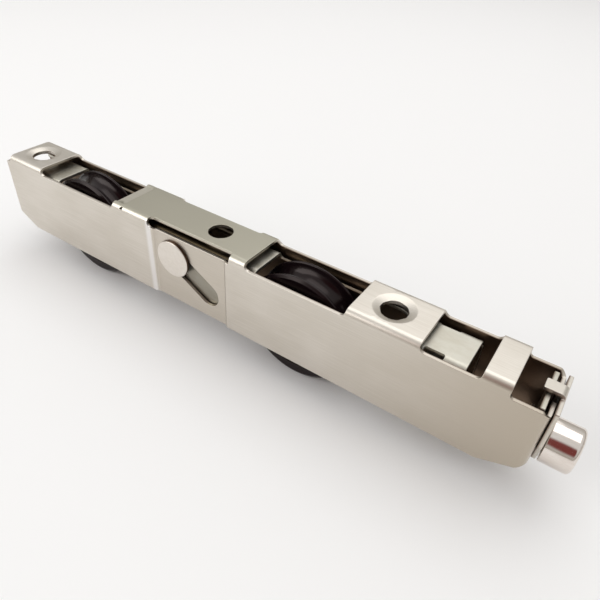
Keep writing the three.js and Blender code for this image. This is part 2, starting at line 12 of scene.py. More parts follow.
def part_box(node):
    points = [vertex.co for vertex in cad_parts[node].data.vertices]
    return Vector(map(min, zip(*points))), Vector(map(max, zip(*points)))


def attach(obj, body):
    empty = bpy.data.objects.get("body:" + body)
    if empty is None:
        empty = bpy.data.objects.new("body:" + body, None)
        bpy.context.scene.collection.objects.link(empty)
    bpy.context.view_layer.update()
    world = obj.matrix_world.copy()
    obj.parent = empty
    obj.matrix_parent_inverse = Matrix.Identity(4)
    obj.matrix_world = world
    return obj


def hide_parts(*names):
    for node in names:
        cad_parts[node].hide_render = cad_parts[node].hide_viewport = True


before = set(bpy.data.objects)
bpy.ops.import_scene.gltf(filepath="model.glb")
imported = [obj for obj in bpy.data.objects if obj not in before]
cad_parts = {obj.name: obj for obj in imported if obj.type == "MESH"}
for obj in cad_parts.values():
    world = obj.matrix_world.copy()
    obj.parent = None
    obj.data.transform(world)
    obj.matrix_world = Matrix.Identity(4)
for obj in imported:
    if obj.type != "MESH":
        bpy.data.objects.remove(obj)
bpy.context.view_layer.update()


# ---- outer housing --------------------------------------------------------------------------
# One stainless strip, punched with windows, screw holes and the two sloping slots, pressed with
# a guide panel on each side and folded into a long channel whose walls turn in as flanges at its
# screw end.

MM = 0.001
low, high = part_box("outer_housing")
housing_start, housing_floor = low.x / MM, low.z / MM
length = (high.x - low.x) / MM
half = (high.y - low.y) / MM / 2
height = (high.z - low.z) / MM
sheet = 1.2
bend = 2.4
edge_round = 0.16
screw_holes = (10.5, 100.5, 163.7)
guide = (87.1, 18.2)


def rounded(corners, closed=True, steps=5, stride=None):
    """Points and outward normals along an outline of (u, v, corner radius). With a stride, its
    straight runs are divided too, so that they can follow a fold."""
    path = []
    count = len(corners)
    for index, (u, v, radius) in enumerate(corners):
        here = Vector((u, v))
        before = Vector(corners[index - 1][:2]) - here
        after = Vector(corners[(index + 1) % count][:2]) - here
        at_end = not closed and index in (0, count - 1)
        if at_end:
            along = after.normalized() if index == 0 else -before.normalized()
            path.append((here, Vector((along.y, -along.x))))
            continue
        into, out = -before.normalized(), after.normalized()
        turn = atan2(into.x * out.y - into.y * out.x, into.dot(out))
        if radius == 0 or abs(turn) < 0.01:
            along = (into + out).normalized()
            path.append((here, Vector((along.y, -along.x))))
            continue
        reach = min(radius * tan(abs(turn) / 2), before.length * 0.49, after.length * 0.49)
        radius = reach / tan(abs(turn) / 2)
        first = here - into * reach
        side = 1 if turn > 0 else -1
        centre = first + Vector((-into.y, into.x)) * radius * side
        for step in range(steps + 1):
            angle = turn * step / steps
            normal = Vector((into.y, -into.x))
            normal = Vector((normal.x * cos(angle) - normal.y * sin(angle),
                             normal.x * sin(angle) + normal.y * cos(angle)))
            path.append((centre + normal * radius * side, normal))
    if stride:
        divided = []
        for (start, facing), (stop, onward) in zip(path, path[1:] + path[:1]):
            count = max(1, round((stop - start).length / stride))
            for k in range(count):
                share = k / count
                divided.append((start.lerp(stop, share), facing.lerp(onward, share).normalized()))
        path = divided
    return path


def circle(u, v, radius, steps=48):
    """A hole: its normals point into the opening."""
    path = []
    for step in range(steps):
        angle = -2 * pi * step / steps
        normal = Vector((cos(angle), sin(angle)))
        path.append((Vector((u, v)) + normal * radius, -normal))
    return path


def on_sheet(points, loops, margin=0.0):
    """Which flat points lie on the sheet, and further than a margin from its edges."""
    starts = np.array([p for loop in loops for p, _ in loop])
    stops = np.array([p for loop in loops for p, _ in loop[1:] + loop[:1]])
    run = stops - starts
    kept = []
    for point in points:
        away = np.array(point) - starts
        crossed = (starts[:, 1] > point[1]) != (stops[:, 1] > point[1])
        slant = np.where(crossed, run[:, 1], 1)
        left_of = away[:, 0] < away[:, 1] * run[:, 0] / slant
        kept.append(np.count_nonzero(crossed & left_of) % 2 == 1)
        if margin and kept[-1]:
            share = np.clip((away * run).sum(1) / (run * run).sum(1), 0, 1)
            kept[-1] = np.min(((away - run * share[:, None]) ** 2).sum(1)) > margin ** 2
    return kept


def finish_mesh(name, vertices, faces, normals=None, crease=radians(35)):
    """A shaded piece from millimetre points: smooth by its own normals, or up to a crease."""
    mesh = bpy.data.meshes.new(name)
    mesh.from_pydata([Vector(v) * MM for v in vertices], [], faces)
    mesh.polygons.foreach_set("use_smooth", [True] * len(mesh.polygons))
    if normals:
        mesh.normals_split_custom_set_from_vertices(normals)
    else:
        mesh.set_sharp_from_angle(angle=crease)
    piece = bpy.data.objects.new(name, mesh)
    bpy.context.scene.collection.objects.link(piece)
    return piece


def folded_sheet(name, loops, place, fill, thick=sheet, edge=edge_round):
    """A sheet with softly rounded cut edges. place(u, v, depth) puts a flat point where the
    folding leaves it, depth below the outer face, in millimetres of the frame."""
    turns = 4
    profile = [(edge * (1 - sin(a)), edge * (1 - cos(a)), a)
               for a in (pi / 2 * k / turns for k in range(turns + 1))]
    profile += [(inset, thick - depth, pi - a) for inset, depth, a in reversed(profile)]
    flat, links, rims = [], [], []
    for loop in loops:
        start = len(flat)
        flat += [point - normal * edge for point, normal in loop]
        links += [(start + i, start + (i + 1) % len(loop)) for i in range(len(loop))]
        rims.append(start)
    inner = [[(p - n * edge, n) for p, n in loop] for loop in loops]
    room = 0.35
    flat += [Vector(p) for p, kept in zip(fill, on_sheet(fill, inner, room)) if kept]
    points, _, triangles, origin, _, _ = geometry.delaunay_2d_cdt(flat, links, [], 1, 1e-7)
    new_index = {old: new for new, olds in enumerate(origin) for old in olds}
    middles = [(points[a] + points[b] + points[c]) / 3 for a, b, c in triangles]
    triangles = [t for t, kept in zip(triangles, on_sheet(middles, loops)) if kept]

    def frame_at(point):
        step = 0.02
        across = place(point.x + step, point.y, 0) - place(point.x - step, point.y, 0)
        around = place(point.x, point.y + step, 0) - place(point.x, point.y - step, 0)
        return across.normalized(), around.normalized()

    vertices, normals, depths = [], [], []
    for depth, sign in ((0, 1), (thick, -1)):
        for point in points:
            across, around = frame_at(point)
            vertices.append(place(point.x, point.y, depth))
            normals.append(across.cross(around).normalized() * sign)
            depths.append(depth / thick)
    layer = len(points)
    faces = [tuple(t) for t in triangles]
    faces += [tuple(i + layer for i in reversed(t)) for t in triangles]
    for loop, start in zip(loops, rims):
        rows = [[new_index[start + i] for i in range(len(loop))]]
        for inset, depth, angle in profile[1:-1]:
            row = []
            for point, normal in loop:
                spot = point - normal * inset
                across, around = frame_at(spot)
                outward = (across * normal.x + around * normal.y).normalized()
                row.append(len(vertices))
                vertices.append(place(spot.x, spot.y, depth))
                depths.append(depth / thick)
                face = across.cross(around).normalized()
                normals.append(face * cos(angle) + outward * sin(angle))
            rows.append(row)
        rows.append([new_index[start + i] + layer for i in range(len(loop))])
        for upper, lower in zip(rows, rows[1:]):
            for i in range(len(loop)):
                j = (i + 1) % len(loop)
                faces.append((upper[i], lower[i], lower[j], upper[j]))
    piece = finish_mesh(name, vertices, faces, normals)
    piece.data.attributes.new("inside", "FLOAT", "POINT").data.foreach_set("value", depths)
    return piece


class Channel:
    """An inverted U folded from flat sheet, and where each flat point of it ends up."""

    def __init__(self, start, floor, half, top, bend):
        self.start, self.floor, self.half, self.top, self.bend = start, floor, half, top, bend
        self.flat = half - bend
        self.arc = bend * pi / 2

    def down(self, z):
        """Distance round the fold from the middle of the web to height z on a wall."""
        return self.flat + self.arc + self.top - self.bend - z

    def section(self, v, depth):
        side = 1 if v >= 0 else -1
        run = abs(v)
        if run <= self.flat:
            return v, self.top - depth
        if run <= self.flat + self.arc:
            angle = (run - self.flat) / self.bend
            reach = self.bend - depth
            return side * (self.flat + reach * sin(angle)), self.top - self.bend + reach * cos(angle)
        return side * (self.half - depth), self.top - self.bend - (run - self.flat - self.arc)

    def place(self, u, v, depth):
        y, z = self.section(v, depth)
        return Vector((self.start + u, y, self.floor + z))


def smooth_step(share):
    share = max(0.0, min(1.0, share))
    return share * share * (3 - 2 * share)


class Housing(Channel):
    """The housing's channel with its dimples, lip, guide panels and end flanges."""

    dimples = ((screw_holes[0], 6.6), (screw_holes[2], 6.6))
    dimple_depth = 0.9
    hole = 4.15
    lip = (59.3, 63.7)
    lip_drop = 0.6
    lip_slope, lip_fade = 0.9, 1.2
    panel = (77.9, 79.4, 109.6)
    panel_depth = 0.8
    joggle = 0.9

    def pressed(self, u, v):
        """How far the tools push the sheet inwards at a flat point."""
        depth = 0.0
        for centre, radius in self.dimples:
            away = hypot(u - centre, v)
            slope = (radius - away) / (radius - self.hole)
            depth += self.dimple_depth * max(0.0, slope) ** 1.15
        if abs(v) < self.flat + 0.6 and self.lip[0] - 1 < u < self.lip[1] + 1:
            along = 1 - smooth_step((u - self.lip[1] + self.lip_slope) / self.lip_slope)
            across = 1 - smooth_step((abs(v) - self.flat + 0.8) / self.lip_fade)
            depth += self.lip_drop * along * across
        if abs(v) > self.flat + self.arc * 0.5:
            z = self.top - self.bend - (abs(v) - self.flat - self.arc)
            left = self.panel[0] + (self.panel[1] - self.panel[0]) * max(0, z) / self.top
            rise = smooth_step((u - left + self.joggle / 2) / self.joggle)
            fall = smooth_step((u - self.panel[2] + self.joggle / 2) / self.joggle)
            depth += self.panel_depth * (rise - fall)
        return depth

    def place(self, u, v, depth):
        y, z = self.section(v, depth + self.pressed(u, v))
        x = u
        turn_in = length - self.bend
        if u > turn_in and abs(v) > self.flat + self.arc:
            side = 1 if v > 0 else -1
            reach = self.bend - depth
            angle = (u - turn_in) / self.bend
            if angle < pi / 2:
                x = turn_in + reach * sin(angle)
                y = side * (self.half - self.bend + reach * cos(angle))
            else:
                x = length - depth
                y = side * (self.half - self.bend - (u - turn_in - self.arc))
        return Vector((self.start + x, y, self.floor + z))


housing = Housing(housing_start, housing_floor, half, height, bend)
window_floor = 27.4
end_wall_top = 26.1
web_start = 2.4
bridges = ((web_start, 20.6), (59.3, 117.5), (153.0, 175.7), (192.6, 200.3))
window_round = 1.7
left_foot, left_rise = 8.8, 4.9
right_foot = 198.2
flange_gap, flange_top = 2.15, 24.7
neck_gap = 4.4
neck_top = 14.2
slit = (76.2, 111.4)
slit_floor, slit_round = 26.8, 1.6
slot_from = Vector(guide)
slot_angle = radians(30.5)
slot_travel = 17.0
slot_half_width = 4.4


def flange_reach(gap):
    return length - bend + housing.arc + half - bend - gap


def housing_outline():
    """Front half of the blank, left to right, then its mirror image back along the other wall."""
    down = housing.down
    front = [(left_foot, 0, 1.2), (right_foot, 0, 2.0), (208.3, 3.8, 1.0), (210.8, 5.9, 1.5),
             (flange_reach(neck_gap), 6.0, 0.4), (flange_reach(neck_gap), neck_top, 1.0),
             (flange_reach(flange_gap), neck_top, 0.6), (flange_reach(flange_gap), flange_top, 0.6),
             (211.0, flange_top, 1.5), (208.8, end_wall_top, 1.5), (bridges[3][1], end_wall_top, 1.0)]
    front = [(u, -down(z), r) for u, z, r in front]
    left = [(web_start, -down(window_floor), 0.8), (0, -down(window_floor), 0.6),
            (0, -down(left_rise), 1.2)]
    back = [(u, -v, r) for u, v, r in reversed(front)]
    return rounded(front + back + [(u, -v, r) for u, v, r in reversed(left)] + left, stride=0.6)


def opening(corners, steps=5):
    """A hole's outline, turned round if need be so that its normals point into the hole."""
    pairs = zip(corners, corners[1:] + corners[:1])
    turned_round = sum(a[0] * b[1] - b[0] * a[1] for a, b in pairs)
    return rounded(corners[::-1] if turned_round > 0 else corners, steps=steps, stride=0.6)


def window(u0, u1, v0, v1, radius):
    return opening([(u0, v0, radius), (u0, v1, radius), (u1, v1, radius), (u1, v0, radius)])


def side_hole(channel, side, x, z, radius):
    """A round hole in one wall of a channel."""
    return circle(x, side * channel.down(z), radius)


def sloping_slot(side):
    path = []
    steps = 16
    far = slot_from + Vector((cos(slot_angle), -sin(slot_angle))) * slot_travel
    for centre, first in ((slot_from, pi / 2), (far, -pi / 2)):
        for step in range(steps + 1):
            angle = first + pi * step / steps - slot_angle
            normal = Vector((cos(angle), sin(angle)))
            path.append((centre + normal * slot_half_width, normal))
    flat = [(Vector((p.x, side * housing.down(p.y))), Vector((-n.x, side * n.y))) for p, n in path]
    return flat[::-1] if side < 0 else flat


def housing_holes():
    edge = housing.down(window_floor)
    holes = [window(a[1], b[0], -edge, edge, window_round) for a, b in zip(bridges, bridges[1:])]
    for side in (-1, 1):
        near, far = side * (housing.flat - 0.1), side * housing.down(slit_floor)
        fold = side * housing.flat
        holes.append(opening([(slit[0], near, slit_round), (slit[0], far, slit_round),
                              (slit[1], far, 0.4), (slit[1], near, 0.3)]))
        holes.append(opening([(62.7, fold + side * 2.5, 0.1), (64.1, fold + side * 2.6, 0.1),
                              (64.3, fold + side * 1.2, 0.1)], steps=2))
        holes.append(sloping_slot(side))
    return holes + [circle(x, 0, housing.hole) for x in screw_holes]


def spread(start, stop, step):
    count = max(1, round((stop - start) / step))
    return [start + (stop - start) * i / count for i in range(count + 1)]


def housing_fill():
    """Flat points where the sheet curves, and a wide net of them elsewhere."""
    left_joggle = 78.6
    rows = spread(-housing.flat, housing.flat, 2.4)
    for side in (-1, 1):
        rows += [side * (housing.flat + housing.arc * k / 8) for k in range(1, 9)]
        rows += [side * v for v in spread(housing.flat + housing.arc + 2.5, housing.down(0), 3.0)]
    points = [(u, v) for v in rows for u in spread(1, length - bend - 0.3, 2.0)]
    turn_in = length - bend
    for side in (-1, 1):
        for v in spread(housing.down(26), housing.down(5), 2.0):
            points += [(turn_in + housing.arc * k / 8, side * v) for k in range(9)]
    for side in (-1, 1):
        for edge_u in (left_joggle, housing.panel[2]):
            columns = [edge_u + k * 0.3 for k in range(-5, 6)]
            rows = spread(housing.flat + housing.arc * 0.5, housing.down(0.4), 1.0)
            points += [(u, side * v) for u in columns for v in rows]
    for centre, radius in housing.dimples:
        for ring in spread(housing.hole + 0.6, radius + 0.5, 0.42):
            points += [(centre + ring * cos(2 * pi * k / 48), ring * sin(2 * pi * k / 48))
                       for k in range(48)]
    points += [(u, v) for u in spread(62.2, 64.4, 0.3) for v in spread(-8.4, 8.4, 0.8)]
    return points


class Shade:
    """A shader value. Arithmetic on it adds Math nodes, and node() adds any other kind."""

    def __init__(self, tree, socket=None):
        self.tree, self.socket = tree, socket

    def node(self, kind, settings, inputs, out=0):
        made = self.tree.nodes.new(kind)
        for name, value in settings.items():
            setattr(made, name, value)
        for key, value in inputs.items():
            if isinstance(value, Shade):
                self.tree.links.new(value.socket, made.inputs[key])
            else:
                made.inputs[key].default_value = value
        return Shade(self.tree, made.outputs[out])

    def maths(self, operation, *values):
        return self.node("ShaderNodeMath", {"operation": operation}, dict(enumerate(values)))

    def __add__(self, other):
        return self.maths("ADD", self, other)

    def __sub__(self, other):
        return self.maths("SUBTRACT", self, other)

    def __rsub__(self, other):
        return self.maths("SUBTRACT", other, self)

    def __mul__(self, other):
        return self.maths("MULTIPLY", self, other)

    __radd__, __rmul__ = __add__, __mul__

    def size(self):
        return self.maths("ABSOLUTE", self)

    def ramp(self, start, end):
        """0 below start, 1 above end, and smooth between."""
        return self.node("ShaderNodeMapRange", {"interpolation_type": "SMOOTHSTEP"},
                         {"Value": self, "From Min": start, "From Max": end})

    def blend(self, first, second):
        """Mixes two colours by this value."""
        first, second = [c if isinstance(c, Shade) else (*c, 1) for c in (first, second)]
        return self.node("ShaderNodeMix", {"data_type": "RGBA"}, {0: self, 6: first, 7: second}, 2)

    def place(self):
        """Where the surface is, in millimetres of the frame."""
        spot = self.node("ShaderNodeTexCoord", {}, {}, 3)
        return self.node("ShaderNodeVectorMath", {"operation": "SCALE"}, {0: spot, "Scale": 1000.0})

    def noise(self, spot, stretch, detail=2.0, rough=0.5):
        spot = self.node("ShaderNodeVectorMath", {"operation": "MULTIPLY"}, {0: spot, 1: stretch})
        return self.node("ShaderNodeTexNoise", {}, {"Vector": spot, "Scale": 1.0, "Detail": detail,
                                                   "Roughness": rough})

    def axes(self, spot):
        parts = self.node("ShaderNodeSeparateXYZ", {}, {0: spot})
        return [Shade(self.tree, s) for s in parts.socket.node.outputs]


def finish(name, base, dark, constants, stretch, roughness, grain, relief, painted_light=None):
    """A node material: base colour drifting to a darker one, with grain in its sheen and relief.
    stretch is how fine the grain is along X, Y and Z, per millimetre. The last argument takes the
    axes of the place and the colour so far, and returns that colour with light and shade painted in
    by place."""
    material = bpy.data.materials.new(name)
    material.use_nodes = True
    shader = material.node_tree.nodes["Principled BSDF"]
    for key, value in constants.items():
        shader.inputs[key].default_value = value
    shade = Shade(material.node_tree)
    spot = shade.place()
    lines = shade.noise(spot, stretch, 3.0, 0.6)
    cloud = shade.noise(spot, (0.05, 0.09, 0.09), 3.0)
    mixed = (lines * 0.55 + cloud * 0.45).ramp(0.35, 0.68)
    inside = shade.node("ShaderNodeAttribute", {"attribute_name": "inside"}, {}, 2).ramp(0.5, 1.0)
    colour = mixed.blend(dark, base)
    # Painted light and shade by place, then painted shade that darkens the sheet's inner faces.
    colour = painted_light(shade.axes(spot), colour) if painted_light else colour
    colour = inside.blend(colour, [dark[0] * 0.30, dark[1] * 0.23, dark[2] * 0.19])
    sheen = roughness + (lines - 0.5) * grain + (cloud - 0.5) * grain
    bump = shade.node("ShaderNodeBump", {}, {"Strength": relief, "Distance": 0.0001,
                                             "Height": lines})
    links = material.node_tree.links
    links.new(colour.socket, shader.inputs["Base Color"])
    links.new(sheen.socket, shader.inputs["Roughness"])
    links.new(bump.socket, shader.inputs["Normal"])
    return material


def painted_steel_shading(axes, colour):
    """Painted light and shade on the steel: painted shade, darker and warmer, towards the screw end
    and in the guide panels, a pale painted highlight along each panel's left joggle, and painted
    shade, darker and greener, on top of the middle bridge."""
    x, y, z = axes
    wall = y.size()
    panel = x.ramp(-32.5, -31.0) * (1 - x.ramp(-0.8, 0.6)) * wall.ramp(8.0, 8.6)
    end_and_panel_shade = (x.ramp(35, 108) + panel * 0.4) * wall.ramp(7.6, 9.4)
    joggle_highlight = x.ramp(-35.0, -33.4) * (1 - x.ramp(-32.4, -31.6)) * wall.ramp(8.6, 9.4)
    bridge_top_shade = x.ramp(-62, -46) * (1 - x.ramp(8, 14)) * z.ramp(39.0, 39.6)
    toned = bridge_top_shade.blend(end_and_panel_shade.blend(colour, (0.50, 0.44, 0.36)), (0.50, 0.475, 0.39))
    return (joggle_highlight * 0.8).blend(toned, (0.86, 0.84, 0.83))


stainless = finish("stainless_brushed", (0.71, 0.665, 0.60), (0.62, 0.575, 0.505),
                   {"Metallic": 1.0}, (0.06, 3.6, 3.6), 0.34, 0.13, 0.06, painted_steel_shading)


def fit(piece, body, node, material):
    """Puts a finished piece on the body that carries it, in place of the plain one."""
    piece.data.materials.append(material)
    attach(piece, body)
    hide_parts(node)
    return piece


fit(folded_sheet("housing_shell", [housing_outline()] + housing_holes(), housing.place,
                 housing_fill()),
    "housing", "outer_housing", stainless)


# ---- inner carriage -------------------------------------------------------------------------
# A narrower zinc plated channel that runs inside the housing and carries both wheels. Its web is
# notched so that the fixing screws pass, cut away over the wheels, and covers the nut.

carriage_half, carriage_top, carriage_bend = 7.5, 26.6, 2.2
carriage = Channel(housing_start, housing_floor, carriage_half, carriage_top, carriage_bend)
carriage_from, carriage_web_end, carriage_to = 5.0, 188.2, 188.5
carriage_bottom = 2.6
left_window, right_window = (27.4, 63.5), (120.0, 157.5)
fold_slot = (175.9, 181.8)
notch = 4.8
wheel_places = {"left": (38.8, 9.5), "right": (134.8, 9.5)}
nut_place = (180.25, 9.8)


def half_round(x, way=1):
    """Corners of half the room left round a fixing screw, bulging right, or left with way -1."""
    turns = [pi * k / 12 for k in range(13)]
    return [(x + way * notch * sin(a), way * notch * cos(a), 0) for a in turns]


def carriage_outline():
    """The blank, with an open notch at its left end and its web cut short at the right."""
    down = carriage.down
    low_edge, fold = down(carriage_bottom), down(24.2)
    right = [(carriage_from, -low_edge, 1.5), (carriage_to, -low_edge, 1.5),
             (carriage_to, -fold, 0.6), (carriage_web_end, -fold, 0.4)]
    left = [(carriage_from, notch, 0.5), *half_round(screw_holes[0]), (carriage_from, -notch, 0.5)]
    return rounded(right + [(u, -v, r) for u, v, r in reversed(right)] + left, stride=0.8)


def carriage_holes():
    edge = carriage.down(24.3)
    start, stop = right_window
    holes = [window(*left_window, -edge, edge, 0.8),
             opening([(start, -edge, 0.8), (start, edge, 0.8), (stop, edge, 0.8), (stop, notch, 0.4)]
                     + half_round(screw_holes[2]) + [(stop, -notch, 0.4), (stop, -edge, 0.8)])]
    run = slot_travel * cos(slot_angle)
    holes.append(opening(half_round(screw_holes[1]) + half_round(screw_holes[1] - run, -1)))
    for side in (-1, 1):
        holes.append(window(*fold_slot, side * (carriage.flat + 0.1),
                            side * (carriage.flat + 2.6), 0.5))
        holes.append(side_hole(carriage, side, *guide, 4.1))
        holes += [side_hole(carriage, side, *place, 4.0) for place in wheel_places.values()]
        holes.append(side_hole(carriage, side, *nut_place, 2.6))
    return holes


def carriage_fill():
    rows = spread(-carriage.flat, carriage.flat, 2.6)
    for side in (-1, 1):
        rows += [side * (carriage.flat + carriage.arc * k / 6) for k in range(1, 7)]
        rows += [side * v for v in spread(carriage.flat + carriage.arc + 3, carriage.down(4), 4.0)]
    return [(u, v) for v in rows for u in spread(6, 188, 4.0)]


def shaded_inside(axes, colour):
    """Darkens the plating under the middle bridge, where little light gets in."""
    x, _, z = axes
    covered = x.ramp(-44, -38) * (1 - x.ramp(4.5, 7.5))
    return (covered * (0.45 + 0.55 * z.ramp(32.0, 33.0))).blend(colour, (0.08, 0.06, 0.035))


zinc = finish("zinc_plated", (0.60, 0.58, 0.51), (0.52, 0.49, 0.41), {"Metallic": 1.0},
              (0.25, 0.5, 0.5), 0.40, 0.12, 0.06, shaded_inside)
fit(folded_sheet("carriage_shell", [carriage_outline()] + carriage_holes(), carriage.place,
                 carriage_fill()),
    "carriage", "inner_carriage", zinc)


# ---- guide rivet ----------------------------------------------------------------------------
# A steel rivet through both sloping slots, with a broad flat head in front and a washer round
# its other end behind. It holds the carriage in the housing and steers it down the slope.

def turned(name, path, axis, x, z, sides=96, reach=None, crease=None):
    """Turns a path of (point, normal), along the axis and away from it, about an axis through
    (x, z). reach changes a row's radius with the angle, as a key's socket needs."""
    origin = Vector((housing_start + x, 0, housing_floor + z))
    vertices, normals, rows = [], [], []
    for point, normal in path:
        row = []
        for side in range(sides):
            angle = 2 * pi * side / sides
            radius = point.y * (reach(point, angle) if reach else 1)
            across, up = cos(angle), sin(angle)
            if axis == "x":
                spot = (point.x, radius * across, radius * up)
                facing = (normal.x, normal.y * across, normal.y * up)
            else:
                spot = (radius * up, point.x, radius * across)
                facing = (normal.y * up, normal.x, normal.y * across)
            if point.y > 1e-6 or side == 0:
                row.append(len(vertices))
                vertices.append(origin + Vector(spot))
                normals.append(Vector(facing))
        rows.append(row if len(row) > 1 else row * sides)
    closed = path[0][0].y > 1e-6
    faces = []
    for near, far in zip(rows, rows[1:] + (rows[:1] if closed else [])):
        for side in range(sides):
            after = (side + 1) % sides
            corners = (near[side], far[side], far[after], near[after])
            faces.append(tuple(dict.fromkeys(corners)))
    return finish_mesh(name, vertices, faces, None if crease else normals, crease or 0)


def band(inner, outer, start, end, edge=0.2):
    """Section of a plain ring."""
    return rounded([(start, inner, edge), (end, inner, edge), (end, outer, edge),
                    (start, outer, edge)], steps=3)


def flanked(*outline):
    """Section of a solid turning, from its far end over the top to its near end."""
    return rounded([(outline[0][0], 0, 0), *outline, (outline[-1][0], 0, 0)], closed=False, steps=4)


head_under, head_face, head_radius, shank = 9.0, 10.05, 6.7, 4.0
sleeve_half, sleeve_wall = 6.2, 1.3


def painted_side_shade(axes, colour):
    """Paints shade on all but the outermost faces: the guide rivet's head and washer stay bright in
    front and behind, and the axle rivets, which lie deeper, are painted dark all over."""
    return axes[1].size().ramp(9.68, 9.92).blend((0.10, 0.06, 0.04), colour)


rivet_steel = finish("rivet_satin", (0.80, 0.75, 0.69), (0.74, 0.69, 0.62), {"Metallic": 1.0},
                     (0.7, 0.7, 0.7), 0.30, 0.10, 0.08, painted_side_shade)
fit(turned("guide_rivet_body",
           flanked((head_face, shank - 0.1, 0.5), (head_under, shank, 0.1),
                   (-head_under, shank, 0.1), (-head_under, head_radius, 0.15),
                   (-head_face, head_radius, 0.25)), "y", *guide),
    "carriage", "guide_rivet", rivet_steel)
fit(turned("guide_rivet_back_washer", band(shank + 0.1, head_radius, head_under, head_face), "y",
           *guide),
    "carriage", "guide_rivet_washer", rivet_steel)
fit(turned("guide_rivet_spacer",
           band(shank + 0.1, shank + sleeve_wall, -sleeve_half, sleeve_half), "y", *guide),
    "carriage", "guide_rivet_sleeve", zinc)


# ---- wheels, bearings and axles -------------------------------------------------------------
# Two black nylon wheels with a round rail groove, each moulded round a shielded ball bearing
# that turns on a steel axle riveted across the carriage between two spacers.

wheel_radius, wheel_half, groove = 19.5, 5.1, 3.9
race_half, bearing_bore, inner_face, outer_face, bearing_radius = 3.5, 4.0, 5.9, 9.2, 11.0
axle_radius, axle_head, axle_under, axle_end = 3.9, 6.0, 7.6, 8.25
wheel_side = [(race_half, 12.9, 0.3), (2.6, 13.5, 0.3), (2.6, 15.0, 0.3), (wheel_half, 15.6, 0.3),
              (wheel_half, 18.5, 0.3), (4.5, wheel_radius, 0.25)]
groove_arc = [(groove * cos(a), wheel_radius - groove * sin(a), 0)
              for a in (pi * k / 20 for k in range(21))]
wheel_bore = bearing_radius + 0.1
wheel_section = rounded([(-race_half, wheel_bore, 0.1), (race_half, wheel_bore, 0.1)]
                        + wheel_side + groove_arc
                        + [(-y, r, e) for y, r, e in reversed(wheel_side)], steps=3)
ball_radius, ball_track, track = 1.985, 7.55, 2.105


def race(face, outward):
    """Corners of a ball track's curve in a ring's face, from its front to its back."""
    spread_angle = acos(abs(face - ball_track) / track)
    turns = [-spread_angle + spread_angle * k / 4 for k in range(9)]
    return [(track * sin(t), ball_track + outward * track * cos(t), 0) for t in turns]


outer_ring = rounded([(-race_half, outer_face, 0.2), *race(outer_face, 1),
                      (race_half, outer_face, 0.2), (race_half, bearing_radius, 0.3),
                      (-race_half, bearing_radius, 0.3)], steps=3)
inner_ring = rounded([(-race_half, bearing_bore, 0.2), (race_half, bearing_bore, 0.2),
                      (race_half, inner_face, 0.2), *race(inner_face, -1)[::-1],
                      (-race_half, inner_face, 0.2)], steps=3)
axle = flanked((axle_end, axle_head, 0.3), (axle_under, axle_head, 0.1),
               (axle_under, axle_radius, 0.1), (-axle_under, axle_radius, 0.1),
               (-axle_under, axle_head, 0.1), (-axle_end, axle_head, 0.3))
nylon = finish("nylon_black", (0.010, 0.006, 0.007), (0.008, 0.004, 0.005),
               {"Metallic": 0.0, "Specular IOR Level": 0.3,
                "Specular Tint": (1.0, 0.86, 0.82, 1.0)},
               (0.5, 0.5, 0.5), 0.20, 0.08, 0.08)
bearing_steel = finish("bearing_bright", (0.72, 0.71, 0.69), (0.62, 0.61, 0.58),
                       {"Metallic": 1.0}, (0.6, 0.6, 0.6), 0.24, 0.10, 0.04)
cage_nylon = finish("cage_nylon", (0.42, 0.36, 0.25), (0.32, 0.27, 0.18), {"Metallic": 0.0},
                    (0.8, 0.8, 0.8), 0.5, 0.1, 0.1)


def ball(name, place):
    rows = [(Vector((ball_radius * cos(a), ball_radius * sin(a))), Vector((cos(a), sin(a))))
            for a in (pi * k / 16 for k in range(17))]
    rows = [(p if 0 < k < 16 else Vector((p.x, 0)), n) for k, (p, n) in enumerate(rows)]
    return turned(name, rows, "y", *place, sides=24)


for side, (x, z) in wheel_places.items():
    unit, balls = side + "_wheel_unit", side + "_ball_set"
    bearing = side + "_bearing_"
    fit(turned(side + "_grooved_wheel", wheel_section, "y", x, z, 128),
        unit, side + "_wheel", nylon)
    fit(turned(bearing + "outer_race", outer_ring, "y", x, z), unit, bearing + "outer_ring",
        bearing_steel)
    fit(turned(bearing + "inner_race", inner_ring, "y", x, z), "carriage", bearing + "inner_ring",
        bearing_steel)
    for face, near, far in (("front", -3.2, -2.9), ("back", 2.9, 3.2)):
        fit(turned(bearing + face + "_cover", band(6.1, 9.1, near, far, 0.08), "y", x, z),
            unit, bearing + face + "_shield", bearing_steel)
    for face, near, far in (("front", -6.2, -3.6), ("back", 3.6, 6.2)):
        fit(turned(f"{side}_{face}_tube", band(bearing_bore, inner_face, near, far), "y", x, z),
            "carriage", f"{side}_{face}_spacer", zinc)
    fit(turned(side + "_axle_pin", axle, "y", x, z), "carriage", side + "_axle_rivet",
        rivet_steel)
    for count in range(7):
        angle = 2 * pi * count / 7
        place = (x + ball_track * cos(angle), z + ball_track * sin(angle))
        fit(ball(f"{bearing}steel_ball_{count + 1}", place), balls, f"{bearing}ball_{count + 1}",
            bearing_steel)
    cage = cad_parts[bearing + "cage"]
    cage.data.materials.clear()
    cage.data.materials.append(cage_nylon)


# ---- adjusting screw and nut ----------------------------------------------------------------
# A bright M8 screw with a round head and a key socket, machined in one piece. It turns in the
# slide plates, held by a clip, and draws the threaded block that is riveted in the carriage.

screw_z, screw_radius, thread_depth, pitch = 9.8, 4.0, 0.7, 1.25
head_start, head_end, screw_head = 212.5, 220.8, 6.65
tip, thread_from, thread_to, shank_end = 172.5, 172.7, 203.6, 208.0
clip_groove, clip_groove_radius = (204.8, 205.8), 3.1
socket_depth, socket_corner = 4.0, 6.0 / 2 / cos(pi / 6)
chrome = finish("chrome_bright", (0.84, 0.79, 0.74), (0.76, 0.69, 0.63), {"Metallic": 1.0},
                (0.3, 1.2, 1.2), 0.13, 0.03, 0.01)


